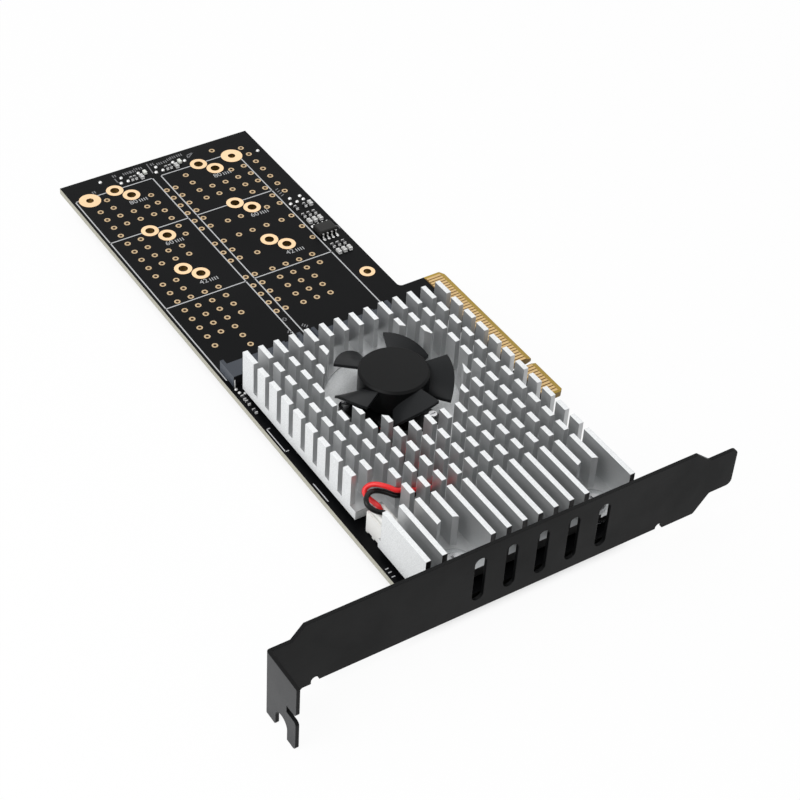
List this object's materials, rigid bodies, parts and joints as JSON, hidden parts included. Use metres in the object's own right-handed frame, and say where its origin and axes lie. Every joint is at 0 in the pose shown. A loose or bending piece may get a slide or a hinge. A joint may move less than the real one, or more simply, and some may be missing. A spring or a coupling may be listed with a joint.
{
  "type": "nvme adapter card",
  "caption": "Long black expansion card for plug-in drives on both faces, with a pin-fin aluminium heatsink, a sunken cooling fan, a gold edge connector and a slotted metal bracket.",
  "frame": {"origin": "middle of the key notch on the tip line of the edge connector, at the board's component face", "axes": "+X out of the edge connector into its slot, +Y along the card away from the bracket, +Z out of the component side"},
  "size_m": [0.12, 0.1874, 0.0217],
  "materials": {
    "board": "satin black solder mask over glass-fibre laminate",
    "gold": "gold plate",
    "aluminium": "bead-blasted clear anodised",
    "screw": "zinc plated",
    "chip": "moulded package",
    "substrate": "chip substrate",
    "silicon": "polished die",
    "thermal_pad": "soft silicone pad",
    "fan_plastic": "satin black",
    "driver_board": "solder mask",
    "stator": "lacquered steel and copper",
    "bronze": "sintered bronze",
    "magnet": "bonded magnet",
    "steel": "ground",
    "white_plastic": "natural nylon",
    "lead_red": "insulated wire",
    "lead_black": "insulated wire",
    "socket_plastic": "dark blue-grey high-temperature plastic",
    "tin": "tinned",
    "bracket_paint": "satin black",
    "ceramic": "ceramic with tinned ends",
    "resistor": "thick film on ceramic",
    "lamp": "clear lens"
  },
  "bodies": {
    "card": {"circuit_board": "board", "edge_contacts_component_side": "gold", "edge_contacts_solder_side": "gold", "standoff_rings": "gold", "corner_pads": "gold", "margin_ring": "gold", "heatsink": "aluminium", "bracket_screws": "screw", "heatsink_screws": "screw", "switch_chip_substrate": "substrate", "switch_chip_die": "silicon", "thermal_pad": "thermal_pad", "fan_base": "fan_plastic", "fan_driver_board": "driver_board", "fan_stator": "stator", "fan_bearing_sleeve": "bronze", "fan_screws": "screw", "fan_header": "white_plastic", "fan_header_pins": "tin", "fan_plug": "white_plastic", "fan_lead_red": "lead_red", "fan_lead_black": "lead_black", "drive_socket_left": "socket_plastic", "drive_socket_back_left": "socket_plastic", "drive_socket_right": "socket_plastic", "drive_socket_back_right": "socket_plastic", "socket_tails_left": "tin", "socket_tails_back_left": "tin", "socket_tails_right": "tin", "socket_tails_back_right": "tin", "bracket": "bracket_paint", "memory_chip": "chip", "memory_chip_leads": "tin", "margin_resistors": "resistor", "margin_capacitors": "ceramic", "far_end_resistors": "resistor", "far_end_capacitors": "ceramic", "indicator_lights": "lamp", "socket_capacitors": "ceramic", "power_inductors": "chip", "power_regulators": "chip", "back_capacitors": "ceramic"},
    "fan_wheel": {"fan_rotor": "fan_plastic", "fan_magnet_ring": "magnet", "fan_shaft": "steel"}
  },
  "joints": [
    {"name": "fan_spin", "type": "hinge", "parent": "card", "child": "fan_wheel", "pos_m": [-0.03985, 0.0012, 0.01], "axis": [0, 0, 1], "continuous": true}
  ]
}
